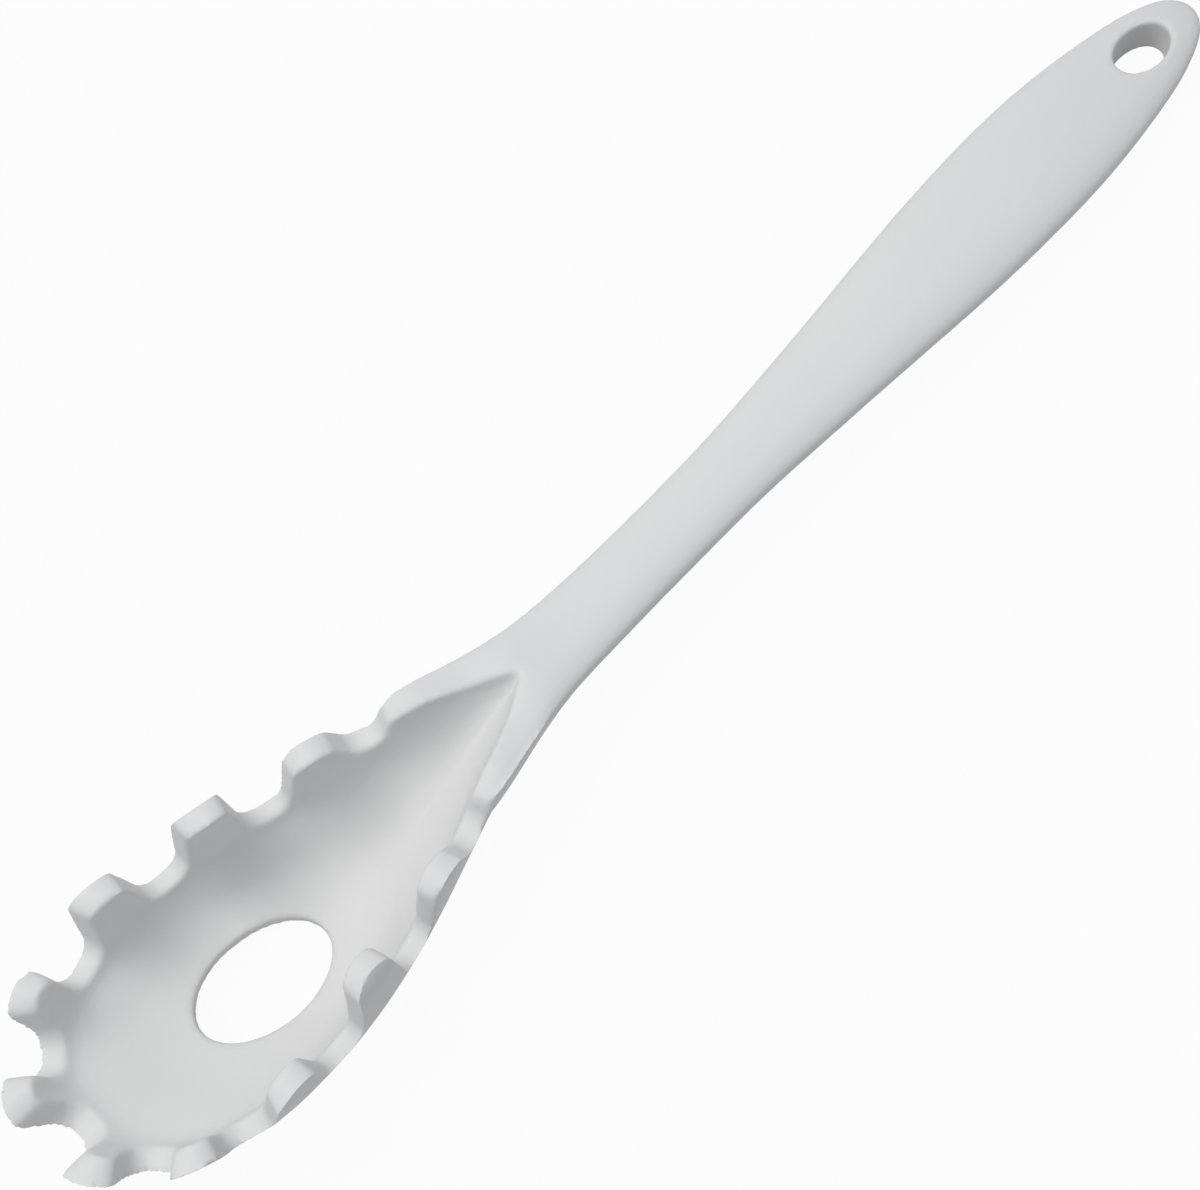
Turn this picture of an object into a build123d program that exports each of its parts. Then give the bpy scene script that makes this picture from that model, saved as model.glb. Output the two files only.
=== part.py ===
# Pasta server: a ten-toothed slotted scoop and its handle, one silicone jacket
# moulded over a nylon scoop core, a nylon handle core and a steel strip.
# Millimetres. +X runs to the handle end, +Y is the left side, +Z is up.
# The tool lies as it does on a table, on the keel of the scoop and the handle's end.
import math
import os

from build123d import *

# Scoop, measured from the pointed rear of the hollow
hollow_length = 103.0
hollow_width = 41.0
hollow_depth = 21.8
wall = 5.0
floor_thickness = 3.0
drain_length = 28.0
drain_width = 17.8

# Teeth and the gaps between them
tooth_crown_half = 4.3
tooth_crown_drop = 1.5
tooth_corner_round = 2.4
gap_floor_half = 4.0
gap_floor_round = 3.8
shoulder_rise = 3.3
shoulder_end_half = 5.2
shoulder_round = 4.0
rear_rim_rise = 0.9
tallest_tooth = 9.2
deepest_gap = 9.0
shoulder_place_share = 0.12
shoulder_across_share = 0.2
shoulder_floor_share = 0.66

# Handle, measured from the rear of the hollow
neck_setback = 21.3
handle_length = 189.1
neck_width = 14.9
handle_width = 25.6
neck_thickness = 7.8
handle_thickness = 9.8
hang_length = 13.8
hang_width = 8.8
hang_end_margin = 8.5
hang_edge_round = 0.8

# Inner pieces
cover = 1.25
strip_width = 6.0
strip_thickness = 1.6
strip_end_round = 2.0
strip_start = 9.0
strip_end_margin = 36.0
tang_length = 34.0

# How far the cutting shapes pass beyond what they cut
overrun = 20.0
cutter_inward_share = 1.8
cutter_reach_share = 5.2
match_distance = 0.04
match_share = 0.01
tilt_steps = 16
steepest_tilt = 12.0

# Shape of the hollow: one row per level, from the drain up to above the teeth.
# Rear and front places are shares of the length, heights shares of the depth,
# half-widths shares of half the width. The last shares give the roundness of
# the front, the fullness of the flanks and the share of the wall that lies
# outwards there. What is left of it lies downwards, in the floor.
level_shares = [
    # rear x, rear z, front x, front z, width, widest x, front power, flank p, flank q, out
    (0.541, -1.015, 0.764, -0.785, 0.340, 0.652, 2.00, 2.00, 0.50, 0.00),
    (0.440, -1.020, 0.847, -0.655, 0.640, 0.648, 2.10, 1.80, 0.55, 0.20),
    (0.342, -0.868, 0.910, -0.535, 0.830, 0.652, 2.20, 1.70, 0.58, 0.46),
    (0.238, -0.645, 0.958, -0.440, 0.935, 0.667, 2.30, 1.65, 0.62, 0.66),
    (0.135, -0.380, 0.998, -0.330, 0.985, 0.685, 2.40, 1.60, 0.68, 0.70),
    (0.050, -0.150, 1.028, -0.160, 1.005, 0.715, 2.25, 1.40, 0.74, 0.84),
    (0.000, 0.030, 1.052, 0.030, 1.025, 0.745, 2.10, 1.35, 0.76, 0.87),
    (-0.005, 0.230, 1.072, 0.230, 1.040, 0.775, 2.05, 1.30, 0.75, 0.90),
    (-0.005, 0.520, 1.092, 0.520, 1.045, 0.790, 2.00, 1.12, 0.67, 0.50),
]
flank_shares = (1.0, 0.985, 0.94, 0.86, 0.74, 0.60, 0.44, 0.25, 0.08)
front_angle_shares = (0.10, 0.28, 0.46, 0.64, 0.82, 1.0)
nose_share = 0.24
nose_power = 4
sink_power = 1.5

# Gaps from the shoulder round to the front: place along and across the rim as
# shares of the hollow's length and width, heading of the rim in degrees, floor
# height as a share of the deepest gap, and the teeth beside it.
gap_shares = [
    (0.245, 0.350, 17.0, -0.28),
    (0.446, 0.500, 12.0, -1.00),
    (0.650, 0.586, 2.0, -0.88),
    (0.856, 0.545, -17.0, -0.79),
    (0.999, 0.340, -50.0, -0.70),
    (1.068, 0.000, -90.0, -0.76),
]
# Teeth from the handle to the front: place of the tip and its height as a share
# of the tallest tooth.
tooth_shares = [
    (0.340, 0.440, 0.53),
    (0.547, 0.496, 1.00),
    (0.757, 0.612, 0.77),
    (0.953, 0.542, 0.58),
    (1.086, 0.240, 0.38),
]

# Handle sections: place as a share of the handle's length from the hollow's
# rear, half-width as a blend from neck to handle width, thickness likewise,
# height of the widest line, and how much of the thickness lies above it.
handle_shares = [
    # place, width blend, thickness blend, widest z, above, power
    (-0.122, 1.20, 1.90, 0.22, 0.06, 3.0),
    (-0.090, 1.07, 1.90, 0.22, 0.06, 3.0),
    (-0.060, 0.83, 1.45, 0.17, 0.06, 3.0),
    (-0.030, 0.56, 1.00, 0.05, 0.11, 2.9),
    (0.000, 0.34, 0.95, -0.08, 0.26, 2.7),
    (0.030, 0.18, 0.50, -0.20, 0.32, 2.6),
    (0.075, 0.08, 0.00, -0.37, 0.40, 2.5),
    (0.150, 0.01, 0.00, -0.45, 0.45, 2.4),
    (0.230, 0.00, 0.00, -0.45, 0.45, 2.4),
    (0.300, 0.04, 0.06, -0.40, 0.44, 2.4),
    (0.375, 0.20, 0.22, -0.35, 0.45, 2.4),
    (0.455, 0.41, 0.45, -0.28, 0.45, 2.4),
    (0.540, 0.67, 0.70, -0.19, 0.46, 2.4),
    (0.630, 0.905, 0.92, -0.12, 0.47, 2.4),
    (0.715, 1.00, 1.00, -0.06, 0.47, 2.4),
    (0.790, 0.94, 1.00, -0.04, 0.44, 2.4),
    (0.850, 0.735, 1.05, -0.04, 0.39, 2.4),
    (0.905, 0.445, 0.95, -0.065, 0.36, 2.4),
]
# The rounded end of the handle: places from the last section to the end, and
# the shares of its width and thickness that are left there.
end_shares = [
    (0.30, 0.885, 0.94),
    (0.55, 0.745, 0.84),
    (0.75, 0.590, 0.70),
    (0.89, 0.405, 0.51),
    (0.97, 0.215, 0.28),
]
end_sink_share = 1.15
section_steps = 20
middle_level = 4
strip_row = 7
strip_sink_share = 0.88
drain_place_share = 0.6505


def plan_x(share):
    """Place along the hollow, from its pointed rear towards the front."""
    return -neck_setback - share * hollow_length


def handle_x(share):
    """Place along the handle, from the hollow's pointed rear to the handle's end."""
    return -neck_setback + share * handle_length


def half_ring(level, grow):
    """Half outline of the hollow at one level, rear to front, grown outwards."""
    rear, rear_z, front, front_z, width, widest, power, flank_p, flank_q, out = level
    half = hollow_width / 2 * width
    xs, ys = [], []
    for share in flank_shares:
        xs.append(plan_x(widest + (rear - widest) * share))
        ys.append(half * (1 - share ** flank_p) ** flank_q)
    for share in front_angle_shares:
        turn = math.radians(90 * share)
        xs.append(plan_x(widest + (front - widest) * math.sin(turn) ** (2 / power)))
        ys.append(half * max(math.cos(turn), 0.0) ** (2 / power))
    ys[-1] = 0.0
    points = []
    for index, (x, y) in enumerate(zip(xs, ys)):
        if index == 0:
            normal = (1.0, 0.0)
        elif index == len(xs) - 1:
            normal = (-1.0, 0.0)
        else:
            run_x = xs[index + 1] - xs[index - 1]
            run_y = ys[index + 1] - ys[index - 1]
            size = math.hypot(run_x, run_y)
            normal = (run_y / size, -run_x / size)
        reach = grow * out * (1 + nose_share * max(-normal[0], 0.0) ** nose_power)
        points.append((x + normal[0] * reach, y + normal[1] * reach))
    return points


def level_height(level, x):
    """Height of a level's sloping plane at a place along the tool."""
    rear, rear_z, front, front_z = level[:4]
    share = (x - plan_x(rear)) / (plan_x(front) - plan_x(rear))
    return hollow_depth * (rear_z + (front_z - rear_z) * share)


def full_ring(level, grow):
    """Whole outline of the hollow at one level, round from the rear."""
    drop = floor_thickness * (grow / wall) * (1 - level[-1]) ** sink_power
    left = [(x, y, level_height(level, x) - drop) for x, y in half_ring(level, grow)]
    right = [(x, -y, z) for x, y, z in reversed(left[1:-1])]
    return left + right


def ring_steps():
    """How far round the ring each of its points lies, the same at every level."""
    ring = full_ring(level_shares[middle_level], 0)
    steps = [0.0]
    for here, there in zip(ring, ring[1:] + ring[:1]):
        steps.append(steps[-1] + math.dist(here, there))
    return [step / steps[-1] for step in steps]


def scoop_form(grow):
    """Solid inside the hollow's surface, grown by a part of the wall."""
    steps = ring_steps()
    rings = []
    for level in level_shares:
        points = [Vector(*point) for point in full_ring(level, grow)]
        rings.append(Wire([Edge.make_spline(points, periodic=True, parameters=steps)]))
    return Solid.make_loft(rings)


def rim_frame(place, across, heading):
    """Upright plane on the rim's middle: x runs along the rim to the front, z outwards."""
    turn = math.radians(heading)
    along = Vector(-math.cos(turn), math.sin(turn), 0)
    outward = Vector(math.sin(turn), math.cos(turn), 0)
    return Plane(origin=Vector(plan_x(place), hollow_width * across, 0), x_dir=along, z_dir=outward)


def tip_of(index):
    """Place and height of a tooth's tip. Past the last one comes its mirror image."""
    if index < 0:
        return Vector(plan_x(shoulder_place_share), hollow_width * shoulder_across_share, 0)
    side = 1
    if index == len(tooth_shares):
        side = -1
        index = index - 1
    place, across, rise = tooth_shares[index]
    return Vector(plan_x(place), side * hollow_width * across, tallest_tooth * rise)


def near_any(vertex, corners):
    """Whether a vertex of a flat outline is one of the given corners."""
    return any(math.hypot(vertex.X - x, vertex.Y - y) < match_distance for x, y in corners)


def gap_cutter(index, ease):
    """Everything above the rim from one tooth's middle to the next, lowered by ease."""
    place, across, heading, floor_share = gap_shares[index]
    frame = rim_frame(place, across, heading)
    rear = frame.to_local_coords(tip_of(index - 1))
    front = frame.to_local_coords(tip_of(index))
    floor_z = deepest_gap * floor_share - ease
    floor_half = gap_floor_half + ease
    high = tallest_tooth + overrun
    crown = tooth_crown_half - ease
    front_z = front.Y - ease
    front_corner = (front.X - crown, front_z - tooth_crown_drop)
    front_end = front.X + wall
    if index == 0:
        rear_z = shoulder_rise - ease
        rear_corner = (-shoulder_end_half - ease, rear_z)
        rear_end = rear.X
        floor_half = floor_half * shoulder_floor_share
        rear_edges = [Line((rear_end, rear_z), rear_corner)]
    else:
        rear_z = rear.Y - ease
        rear_corner = (rear.X + crown, rear_z - tooth_crown_drop)
        rear_end = rear.X - wall
        rear_edges = [
            Line((rear_end, rear_z), (rear.X, rear_z)),
            TangentArc((rear.X, rear_z), rear_corner, tangent=(1, 0)),
        ]
    edges = rear_edges + [
        Line(rear_corner, (-floor_half, floor_z)),
        Line((-floor_half, floor_z), (floor_half, floor_z)),
        Line((floor_half, floor_z), front_corner),
        TangentArc((front.X, front_z), front_corner, tangent=(-1, 0)),
        Line((front.X, front_z), (front_end, front_z)),
        Line((front_end, front_z), (front_end, high)),
        Line((front_end, high), (rear_end, high)),
        Line((rear_end, high), (rear_end, rear_z)),
    ]
    face = Face(Wire(edges))
    floor_corners = [(-floor_half, floor_z), (floor_half, floor_z)]
    rear_round = shoulder_round if index == 0 else tooth_corner_round
    face = face.fillet_2d(gap_floor_round, [v for v in face.vertices() if near_any(v, floor_corners)])
    face = face.fillet_2d(rear_round, [v for v in face.vertices() if near_any(v, [rear_corner])])
    face = face.fillet_2d(tooth_corner_round, [v for v in face.vertices() if near_any(v, [front_corner])])
    start = frame.from_local_coords(face).moved(Location(frame.z_dir * -wall * cutter_inward_share))
    return Solid.extrude(start, frame.z_dir * wall * cutter_reach_share)


def cut_gap(body, index, ease, place):
    """A body in its place, with one gap cut into it on both sides."""
    cutter = gap_cutter(index, ease)
    body = body - place * cutter
    if gap_shares[index][1] > 0:
        body = body - place * mirror(cutter, about=Plane.XZ)
    return body


def cut_rim(body, ease, place):
    """A scoop body in its place, with its rear rim, teeth and gaps cut."""
    side = 2 * hollow_width
    depth = 2 * (plan_x(0) - plan_x(gap_shares[0][0]) - wall * cutter_inward_share)
    top = Pos(plan_x(0) - wall, 0, overrun / 2 + rear_rim_rise - ease) * Box(depth, side, overrun)
    body = body - place * top
    for index in range(len(gap_shares)):
        body = cut_gap(body, index, ease, place)
    return body


def handle_row(row):
    """Real sizes of one handle section."""
    share, width_blend, thickness_blend, widest_share, above, power = row
    width = neck_width + width_blend * (handle_width - neck_width)
    thickness = neck_thickness + thickness_blend * (handle_thickness - neck_thickness)
    return handle_x(share), width, thickness, widest_share * thickness, above, power


def middle_sink(above, inset):
    """How far the widest line sinks when the outline is drawn in all round."""
    return inset * (1 - 2 * above)


def handle_section(place, width, thickness, widest_z, above, power, inset):
    """Closed outline across the handle, drawn in by an inset on every side."""
    half = width / 2 - inset
    top = (thickness - 2 * inset) * above
    under = (thickness - 2 * inset) * (1 - above)
    middle_z = widest_z - middle_sink(above, inset)
    points = []
    for step in range(section_steps):
        turn = 2 * math.pi * step / section_steps
        across = math.copysign(abs(math.cos(turn)) ** (2 / power), math.cos(turn))
        rise = math.copysign(abs(math.sin(turn)) ** (2 / power), math.sin(turn))
        reach = top if rise > 0 else under
        points.append(Vector(place, half * across, middle_z + reach * rise))
    steps = [step / section_steps for step in range(section_steps + 1)]
    return Wire([Edge.make_spline(points, periodic=True, parameters=steps)])


def handle_form(inset):
    """The handle from inside the scoop's wall to its rounded end, drawn in by an inset."""
    sections = [handle_section(*handle_row(row), inset) for row in handle_shares]
    place, width, thickness, widest_z, above, power = handle_row(handle_shares[-1])
    reach = handle_x(1) - inset - place
    for share, width_share, thickness_share in end_shares:
        left_width = 2 * inset + (width - 2 * inset) * width_share
        left_thickness = 2 * inset + (thickness - 2 * inset) * thickness_share
        z = widest_z * (1 - share) + widest_z * end_sink_share * share
        sections.append(handle_section(
            place + reach * share, left_width, left_thickness, z, above, power, inset))
    end_z = widest_z * end_sink_share - middle_sink(above, inset)
    sections.append(Vertex(place + reach, 0, end_z))
    return Solid.make_loft(sections)


def drain_cutter(ease):
    """Upright oval through the scoop's floor."""
    ring = Ellipse(drain_length / 2 + ease, drain_width / 2 + ease)
    return extrude(Pos(plan_x(drain_place_share), 0, -hollow_depth - overrun) * ring, hollow_depth + overrun)


def hang_x():
    """Place of the hanging hole's centre."""
    return handle_x(1) - hang_end_margin - hang_length / 2


def hang_cutter(ease):
    """Upright long hole through the handle's end."""
    ring = Ellipse(hang_length / 2 + ease, hang_width / 2 + ease)
    return extrude(Pos(hang_x(), 0, -overrun) * ring, 2 * overrun)


def oval_edges(body, place, centre_x, length, width):
    """The edges of a body in its place that run round an oval hole."""
    own = Plane(place)
    found = []
    for edge in body.edges():
        across = (edge.position_at(0) - edge.position_at(0.5)).length
        spots = [edge.position_at(step / section_steps) for step in range(section_steps)]
        spots = [own.to_local_coords(spot) for spot in spots]
        offs = [math.hypot((p.X - centre_x) / (length / 2), p.Y / (width / 2)) - 1 for p in spots]
        if across > width / 2 and max(abs(off) for off in offs) < match_share:
            found.append(edge)
    return found


def tang_block(beyond):
    """Block round the whole handle, on one side of the tang's end."""
    start = plan_x(0) + tang_length
    side = 2 * hollow_width
    shift = side / 2 if beyond else -side / 2
    length = 2 * handle_length
    block = Box(length, side, side)
    return Pos(start + math.copysign(length / 2, shift), 0, 0) * block


def whole_outside(place):
    """Outside of the finished tool. The hanging hole's upper edge is rounded."""
    handle = place * handle_form(0) - place * hang_cutter(0)
    rims = oval_edges(handle, place, hang_x(), hang_length, hang_width)
    upper = max(rims, key=lambda edge: edge.center().Z)
    handle = handle.fillet(hang_edge_round, [upper])
    body = cut_rim(place * scoop_form(wall), 0, place) + cut_gap(handle, 0, 0, place)
    body = body - place * scoop_form(0)
    return body - place * drain_cutter(0)


def scoop_core(place):
    """Nylon shell with ten fingers, and the tang that runs into the neck."""
    tang = place * handle_form(cover) - place * tang_block(True)
    body = cut_rim(place * scoop_form(wall - cover), cover, place) + cut_gap(tang, 0, cover, place)
    body = body - place * scoop_form(cover)
    return body - place * drain_cutter(cover)


def handle_core(place):
    """Nylon filling of the handle behind the tang, with an eye round the hanging hole."""
    return place * handle_form(cover) - place * tang_block(False) - place * hang_cutter(cover)


def strip():
    """Flat steel strip with rounded ends, from the tang far into the handle core."""
    start = plan_x(0) + strip_start
    end = handle_x(1) - strip_end_margin
    centre_z = handle_row(handle_shares[strip_row])[3] * strip_sink_share
    flat = RectangleRounded(end - start, strip_width, strip_end_round)
    return extrude(Pos((start + end) / 2, 0, centre_z - strip_thickness / 2) * flat, strip_thickness)


def lowest(body, tilt):
    """Height of a body's lowest point once it is tilted with the handle's end down."""
    return (Rotation(0, tilt, 0) * body).bounding_box().min.Z


def rest_tilt(scoop, handle):
    """Tilt at which the keel of the scoop and the handle's end touch the table together."""
    least, most = 0.0, steepest_tilt
    for _ in range(tilt_steps):
        middle = (least + most) / 2
        if lowest(handle, middle) > lowest(scoop, middle):
            least = middle
        else:
            most = middle
    return (least + most) / 2


def rest_place():
    """Place of the resting tool: its box stands on the table, centred on the origin."""
    scoop = cut_rim(scoop_form(wall), 0, Location())
    handle = handle_form(0)
    turned = Rotation(0, rest_tilt(scoop, handle), 0)
    front = (turned * scoop).bounding_box()
    back = (turned * handle).bounding_box()
    middle_x = (front.min.X + back.max.X) / 2
    return Pos(-middle_x, 0, -min(front.min.Z, back.min.Z)) * turned


def main():
    """Build the four pieces as they rest, and write one file each."""
    place = rest_place()
    bar = place * strip()
    scoop_insert = scoop_core(place)
    handle_insert = handle_core(place)
    pieces = {
        "jacket": whole_outside(place) - [scoop_insert, handle_insert],
        "scoop_core": scoop_insert - bar,
        "handle_core": handle_insert - bar,
        "strip": bar,
    }
    os.makedirs("parts", exist_ok=True)
    for name, piece in pieces.items():
        export_step(piece.solids()[0], f"parts/{name}.step")


if __name__ == "__main__":
    main()
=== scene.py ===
# %% [markdown]
# # A silicone pasta server, dressed and lit like the photograph
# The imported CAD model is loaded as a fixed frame: four nodes in metres, standing on the
# table with the scoop at -X and the handle's end at +X. Three of them, the two cores and
# the strip, are sealed inside. All that shows is the jacket, one soft grey moulding, so
# this lesson is about one skin: its softened edges and its matt, slightly uneven finish.

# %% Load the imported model
import math

import bpy
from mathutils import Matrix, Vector, kdtree


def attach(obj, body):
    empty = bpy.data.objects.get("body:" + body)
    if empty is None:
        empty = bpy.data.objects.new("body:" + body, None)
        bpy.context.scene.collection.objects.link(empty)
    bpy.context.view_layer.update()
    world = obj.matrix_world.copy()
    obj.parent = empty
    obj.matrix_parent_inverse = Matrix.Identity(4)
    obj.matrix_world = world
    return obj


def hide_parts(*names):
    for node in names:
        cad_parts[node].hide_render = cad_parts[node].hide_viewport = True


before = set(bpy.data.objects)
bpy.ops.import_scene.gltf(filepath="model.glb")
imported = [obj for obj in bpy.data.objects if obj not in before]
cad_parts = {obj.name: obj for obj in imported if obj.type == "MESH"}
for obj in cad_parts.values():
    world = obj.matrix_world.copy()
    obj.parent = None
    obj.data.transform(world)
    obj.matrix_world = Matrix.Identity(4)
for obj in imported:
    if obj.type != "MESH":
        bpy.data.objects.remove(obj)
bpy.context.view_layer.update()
MM = 0.001

# %% [markdown]
# ## The camera
# The photograph looks down on the tool from beside the scoop, so the scoop is nearest and
# the handle runs away to the top right corner. A 77 mm lens on a 36 mm wide sensor gives
# the photograph's perspective: the scoop is about a seventh larger in the picture than
# the handle's end. No shift and no depth of field are needed.

# %% Set the camera
view = bpy.data.cameras.new("photo_camera")
view.lens = 77.1
view.sensor_width = 36.0
camera = bpy.data.objects.new("photo_camera", view)
camera.location = (-0.094934, -0.134075, 0.450787)
CAMERA_TURNS = (18.947, 5.879, -46.972)
camera.rotation_euler = tuple(math.radians(turn) for turn in CAMERA_TURNS)
bpy.context.collection.objects.link(camera)
bpy.context.scene.camera = camera

# %% [markdown]
# ## A clean copy of the jacket
# A CAD node arrives as loose triangles and is never changed, so the skin starts as a copy.
# Merging by distance joins the triangles, and splitting the result by loose parts frees
# the outside from the closed inner walls round the cores. Only the outside is kept: no
# one sees the inside of a moulding, and one closed shell can be remeshed safely.

# %% Copy the jacket and keep its outside
JOIN_WITHIN = 0.004 * MM


def only(piece):
    """Select one object alone and make it active."""
    bpy.ops.object.select_all(action="DESELECT")
    piece.select_set(True)
    bpy.context.view_layer.objects.active = piece


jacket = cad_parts["jacket"]
skin = bpy.data.objects.new("jacket_skin", jacket.data.copy())
bpy.context.collection.objects.link(skin)
only(skin)
bpy.ops.object.mode_set(mode="EDIT")
bpy.ops.mesh.select_all(action="SELECT")
bpy.ops.mesh.remove_doubles(threshold=JOIN_WITHIN)
bpy.ops.mesh.separate(type="LOOSE")
bpy.ops.object.mode_set(mode="OBJECT")
shells = list(bpy.context.selected_objects)
skin = max(shells, key=lambda shell: shell.dimensions.x)
for shell in shells:
    if shell is not skin:
        bpy.data.objects.remove(shell)
skin.name = "jacket_skin"
print("outside of the jacket:", len(skin.data.vertices), "points of", len(shells), "shells")

# %% [markdown]
# ## Two kinds of edge
# The mould that makes this tool parts along the outer edge of the rim, so that edge is
# crisp, while every edge on the hollow's side is softened by a large radius. To treat
# them differently, the sharp edges of the copy are sorted: an edge belongs to the hollow
# when one of its faces looks towards the hollow's middle. A search tree then tells how
# far any point of the new skin lies from such an edge.

# %% Find the sharp edges on the hollow's side
HOLLOW_MIDDLE = Vector((-0.100, 0.0, 0.030))
HOLLOW_END = -0.030
SHARP = math.cos(math.radians(32))
FACES_THE_MIDDLE = 0.45
SPOT_SPACING = 0.5 * MM


def faces_by_edge(mesh):
    """The faces that meet at each edge of a mesh."""
    faces_at = {}
    for face in mesh.polygons:
        for key in face.edge_keys:
            faces_at.setdefault(key, []).append(face)
    return faces_at


def hollow_side_edges(shell):
    """Points along the sharp edges that face the hollow."""
    mesh = shell.data
    spots = []
    for (first, second), faces in faces_by_edge(mesh).items():
        if len(faces) != 2 or faces[0].normal.dot(faces[1].normal) > SHARP:
            continue
        one, two = mesh.vertices[first].co, mesh.vertices[second].co
        middle = (one + two) / 2
        towards = HOLLOW_MIDDLE - middle
        towards.z = 0.0
        if middle.x > HOLLOW_END or towards.length == 0.0:
            continue
        towards.normalize()
        if max(face.normal.dot(towards) for face in faces) < FACES_THE_MIDDLE:
            continue
        steps = max(1, round((two - one).length / SPOT_SPACING))
        spots += [one.lerp(two, step / steps) for step in range(steps + 1)]
    return spots


inner_spots = hollow_side_edges(skin)
inner_tree = kdtree.KDTree(len(inner_spots))
for number, spot in enumerate(inner_spots):
    inner_tree.insert(spot, number)
inner_tree.balance()
print("points on the hollow's sharp edges:", len(inner_spots))

# %% [markdown]
# ## The skin
# A sharp remesh, with cells of about six tenths of a millimetre, gives even quads and
# still keeps the crisp outer edge, where a voxel remesh would leave it ragged. Later one
# pass of smoothing over the whole skin gives that edge the fine radius of moulded rubber,
# and the points near the hollow's edges are smoothed many more times.

# %% Remesh the skin
only(skin)
remesh = skin.modifiers.new("even_quads", "REMESH")
remesh.mode = "SHARP"
remesh.octree_depth = 9
remesh.scale = 0.99
remesh.use_remove_disconnected = False
bpy.ops.object.modifier_apply(modifier=remesh.name)
print("quads of the skin:", len(skin.data.polygons))

# %% [markdown]
# ## Mend the folds
# Where the outer edge is very thin, a sharp remesh folds a few quads back on themselves,
# and they would show as dark specks. Each round finds the edges whose faces turn back or
# that don't join exactly two faces, merges their closest points and evens out the rest. It
# starts gently, so that the edge keeps its line, and grows firmer where a fold stays.

# %% Unfold the thin edges
FOLDED = math.cos(math.radians(110))
ROUNDS = 8
FIRST_MERGE = 0.05 * MM
MERGE_GROWTH = 0.03 * MM


def select_folds(shell):
    """Select the points of the folded or broken edges and count them."""
    mesh = shell.data
    points = set()
    for key, faces in faces_by_edge(mesh).items():
        if len(faces) != 2 or faces[0].normal.dot(faces[1].normal) < FOLDED:
            points.update(key)
    bpy.ops.object.mode_set(mode="EDIT")
    bpy.ops.mesh.select_mode(type="VERT")
    bpy.ops.mesh.select_all(action="DESELECT")
    bpy.ops.object.mode_set(mode="OBJECT")
    for point in points:
        mesh.vertices[point].select = True
    return len(points)


for turn in range(ROUNDS):
    count = select_folds(skin)
    print("points on folds:", count)
    if count == 0:
        break
    bpy.ops.object.mode_set(mode="EDIT")
    bpy.ops.mesh.remove_doubles(threshold=FIRST_MERGE + MERGE_GROWTH * turn)
    bpy.ops.mesh.vertices_smooth(factor=0.3, repeat=1 + turn // 2)
    bpy.ops.object.mode_set(mode="OBJECT")

# %% [markdown]
# ## Soft and crisp edges
# A vertex group holds how soft each point is: fully at the hollow's edges, fading out at
# the reach. Two Smooth modifiers are applied after each other, the second through that
# group. Faces that meet at more than 45 degrees keep their crease in the shading.

# %% Soften the edges
soft = skin.vertex_groups.new(name="soft_edges")
REACH = 2.2 * MM
CREASE = math.radians(45)
for vertex in skin.data.vertices:
    distance = inner_tree.find(vertex.co)[2]
    if distance < REACH:
        soft.add([vertex.index], (1 - distance / REACH) ** 0.5, "REPLACE")

for name, times, group in (("whole_skin", 1, ""), ("hollow_edges", 14, soft.name)):
    smooth = skin.modifiers.new(name, "SMOOTH")
    smooth.factor = 0.5
    smooth.iterations = times
    smooth.vertex_group = group
    bpy.ops.object.modifier_apply(modifier=smooth.name)
bpy.ops.object.shade_smooth_by_angle(angle=CREASE)
print("skin:", len(skin.data.polygons), "faces")

# %% [markdown]
# ## Shader maths as plain sums
# A node tree is easier to read as a formula. This small class wraps a socket: adding or
# multiplying two of them adds a Math node, and `node` makes any other node from its type,
# its settings and its inputs.

# %% Wrap a socket
class Socket:
    """An output socket of a material's node tree that takes part in sums."""

    def __init__(self, tree, output):
        self.tree = tree
        self.output = output

    def maths(self, operation, left, right):
        return node(self.tree, "ShaderNodeMath", {"operation": operation}, {0: left, 1: right})

    def __add__(self, other):
        return self.maths("ADD", self, other)

    __radd__ = __add__

    def __sub__(self, other):
        return self.maths("SUBTRACT", self, other)

    def __rsub__(self, other):
        return self.maths("SUBTRACT", other, self)

    def __mul__(self, other):
        return self.maths("MULTIPLY", self, other)

    __rmul__ = __mul__

    def __gt__(self, other):
        return self.maths("GREATER_THAN", self, other)

    def __lt__(self, other):
        return self.maths("LESS_THAN", self, other)


def node(tree, kind, settings, inputs, out=0):
    """Add a node, set it up, fill its inputs and give back one of its outputs."""
    made = tree.nodes.new(kind)
    for name, value in settings.items():
        setattr(made, name, value)
    for name, value in inputs.items():
        if isinstance(value, Socket):
            tree.links.new(value.output, made.inputs[name])
        else:
            made.inputs[name].default_value = value
    return Socket(tree, made.outputs[out])


def new_material(name):
    """A material with its tree and its Principled shader."""
    material = bpy.data.materials.new(name)
    material.use_nodes = True
    tree = material.node_tree
    return material, tree, tree.nodes["Principled BSDF"]


def feed(tree, shader, name, socket):
    """Link a socket to one of the shader's inputs."""
    tree.links.new(socket.output, shader.inputs[name])


def object_place(tree):
    """Where a point lies on the piece, in metres."""
    return node(tree, "ShaderNodeTexCoord", {}, {}, "Object")


def noise(tree, place, scale, detail):
    """Soft noise from zero to one."""
    inputs = {"Vector": place, "Scale": scale, "Detail": detail}
    return node(tree, "ShaderNodeTexNoise", {}, inputs, "Fac")


def dots(tree, place, scale):
    """Distance to the nearest of many scattered spots."""
    return node(tree, "ShaderNodeTexVoronoi", {"feature": "F1"},
                {"Vector": place, "Scale": scale, "Randomness": 1.0}, "Distance")


def blend(tree, share, low, high):
    """One colour at share zero, another at share one."""
    return node(tree, "ShaderNodeMix", {"data_type": "RGBA"}, {"Factor": share, 6: low, 7: high}, 2)


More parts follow.
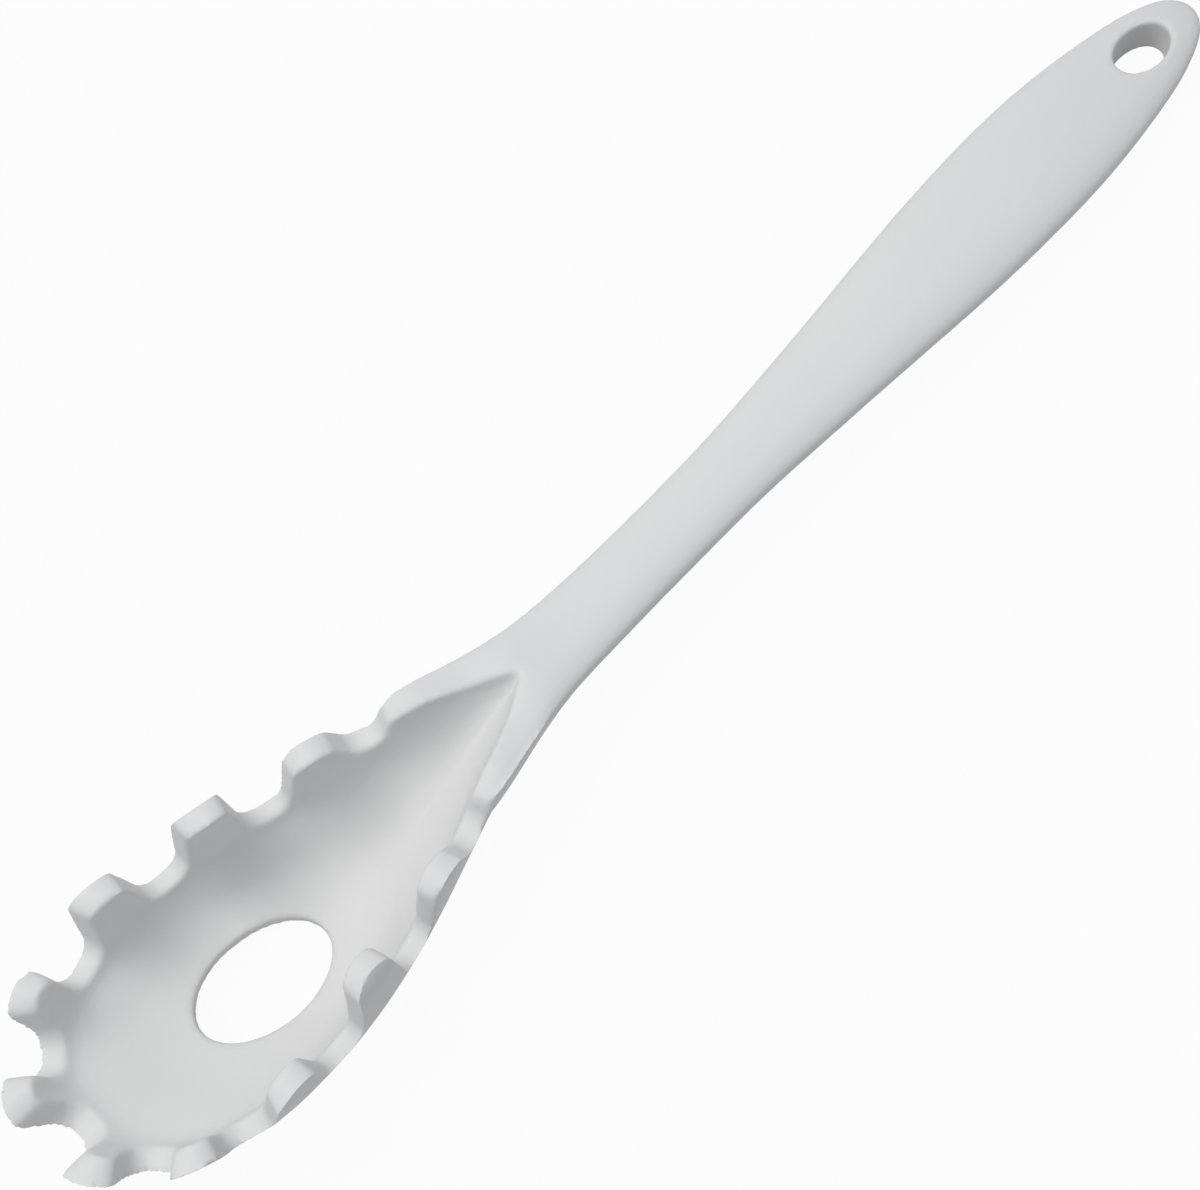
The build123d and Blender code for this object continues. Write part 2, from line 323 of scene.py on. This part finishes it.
# %% [markdown]
# ## Matt silicone
# The rubber is a light, faintly warm grey with no gloss. What makes it look like silicone
# and not like paint is small: the colour drifts by a percent or so where the batch was
# mixed, the skin has a very fine grain from the mould, a few tiny dark specks of dust
# cling to it, and here and there a pinhole dents it. All of it reads Object coordinates,
# which are metres here, so the scales are counts per metre.

# %% Make the silicone
SILICONE = (0.690, 0.690, 0.684, 1.0)
SILICONE_DEEP = (0.664, 0.666, 0.664, 1.0)
SPECK = (0.23, 0.23, 0.22, 1.0)
BATCH_DRIFT = 34.0
MOTTLING = 420.0
MOULD_GRAIN = 2600.0
DUST = 95.0
PINHOLES = 70.0
PATCHES = 60.0

silicone, tree, shader = new_material("silicone_light_grey")
place = object_place(tree)
drift = noise(tree, place, BATCH_DRIFT, 3.0)
grain = noise(tree, place, MOULD_GRAIN, 4.0)
mottle = noise(tree, place, MOTTLING, 2.0)
chance = noise(tree, place, PATCHES, 0.0)
speck = (dots(tree, place, DUST) < 0.018) * (chance > 0.62)
pinhole = (dots(tree, place, PINHOLES) < 0.022) * (chance < 0.36)

colour = blend(tree, drift, SILICONE_DEEP, SILICONE)
colour = blend(tree, speck * 0.75, colour, SPECK)
feed(tree, shader, "Base Color", colour)
feed(tree, shader, "Roughness", 0.52 + mottle * 0.12 + drift * 0.06)
height = grain * 0.6 + mottle * 0.5 - pinhole * 3.0
bump = node(tree, "ShaderNodeBump", {}, {"Strength": 0.22, "Distance": 0.00005, "Height": height})
feed(tree, shader, "Normal", bump)
shader.inputs["Specular IOR Level"].default_value = 0.42
skin.data.materials.clear()
skin.data.materials.append(silicone)
print("silicone has", len(tree.nodes), "nodes")

# %% [markdown]
# ## The sealed pieces
# Nobody sees the cores and the strip unless the tool is cut open, but they carry their
# own finishes all the same: grained grey nylon, and steel with fine lines along the strip.

# %% Make the nylon and the steel
NYLON = ((0.30, 0.31, 0.32, 1.0), (0.38, 0.39, 0.40, 1.0))
NYLON_GRAIN = 900.0
STEEL = ((0.50, 0.51, 0.52, 1.0), (0.62, 0.63, 0.64, 1.0))
LONG_LINES = (40.0, 5200.0, 5200.0)

nylon, tree, shader = new_material("nylon_core")
grain = noise(tree, object_place(tree), NYLON_GRAIN, 3.0)
feed(tree, shader, "Base Color", blend(tree, grain, *NYLON))
feed(tree, shader, "Roughness", 0.45 + grain * 0.2)

steel, tree, shader = new_material("steel_strip")
lines = node(tree, "ShaderNodeMapping", {}, {"Vector": object_place(tree), "Scale": LONG_LINES})
brushed = noise(tree, lines, 1.0, 3.0)
feed(tree, shader, "Base Color", blend(tree, brushed, *STEEL))
feed(tree, shader, "Roughness", 0.28 + brushed * 0.2)
shader.inputs["Metallic"].default_value = 1.0

for name, finish in (("scoop_core", nylon), ("handle_core", nylon), ("strip", steel)):
    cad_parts[name].data.materials.clear()
    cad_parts[name].data.materials.append(finish)

print("finishes of the sealed pieces:", nylon.name, steel.name)

# %% Put the skin in the jacket's place
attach(skin, "root")
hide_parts("jacket")

# %% [markdown]
# ## Table and light
# The photograph is cut out on pure white. The table is white to the camera, with a little
# of the real shadow kept in, and the world is white to the camera as well. A Light Path
# node tells the camera's rays, and those that mirror and glass send on, from the light's
# own. What lights the tool is softer: a broad warm lamp high above it, leaning to the far
# teeth's side, which leaves the hollow's far wall and the near teeth's outsides in shade,
# and a pale blue sky that fills those.

# %% Lay the table
def seen_share(tree):
    """One for the rays that the camera sees, straight or in a reflection, else zero."""
    rays = [node(tree, "ShaderNodeLightPath", {}, {}, f"Is {kind} Ray")
            for kind in ("Camera", "Glossy", "Transmission")]
    total = rays[0] + rays[1] + rays[2]
    return node(tree, "ShaderNodeMath", {"operation": "MINIMUM"}, {0: total, 1: 1.0})


TABLE_SIZE = 4.0
PAPER_SHARE = 0.95
bpy.ops.object.select_all(action="DESELECT")
bpy.ops.mesh.primitive_plane_add(size=TABLE_SIZE, location=(0.0, 0.0, 0.0))
table = bpy.context.active_object
table.name = "table"
bpy.ops.object.mode_set(mode="EDIT")
bpy.ops.mesh.subdivide(number_cuts=3)
bpy.ops.object.mode_set(mode="OBJECT")
white, tree, shader = new_material("white_table")
shader.inputs["Base Color"].default_value = (0.50, 0.50, 0.50, 1.0)
shader.inputs["Roughness"].default_value = 0.8
paper = node(tree, "ShaderNodeEmission", {}, {"Color": (1.0, 1.0, 1.0, 1.0), "Strength": 1.0})
plain = Socket(tree, shader.outputs[0])
mixed = node(tree, "ShaderNodeMixShader", {}, {0: seen_share(tree) * PAPER_SHARE, 1: plain, 2: paper})
tree.links.new(mixed.output, tree.nodes["Material Output"].inputs["Surface"])
table.data.materials.append(white)
print("table of", TABLE_SIZE, "m")

# %% Set the light
scene = bpy.context.scene
scene.view_settings.view_transform = "Standard"
world = bpy.data.worlds.new("studio")
scene.world = world
world.use_nodes = True
tree = world.node_tree
sky = tree.nodes["Background"]
sky.inputs["Color"].default_value = (0.90, 0.935, 1.0, 1.0)
sky.inputs["Strength"].default_value = 0.50
clear = node(tree, "ShaderNodeBackground", {}, {"Color": (1.0, 1.0, 1.0, 1.0), "Strength": 1.0})
pale = Socket(tree, sky.outputs[0])
mixed = node(tree, "ShaderNodeMixShader", {}, {0: seen_share(tree), 1: pale, 2: clear})
tree.links.new(mixed.output, tree.nodes["World Output"].inputs["Surface"])


def lamp(name, spot, aim, size, power, tint):
    """A square area lamp at a spot, turned to an aim."""
    light = bpy.data.lights.new(name, "AREA")
    light.size = size
    light.energy = power
    light.color = tint
    holder = bpy.data.objects.new(name, light)
    holder.location = spot
    holder.rotation_euler = (Vector(aim) - Vector(spot)).to_track_quat("-Z", "Y").to_euler()
    bpy.context.collection.objects.link(holder)


WARM_WHITE = (1.0, 0.985, 0.95)
lamp("key", spot=(-0.15, 0.32, 1.02), aim=(0.0, 0.0, 0.0), size=0.6, power=7.0, tint=WARM_WHITE)
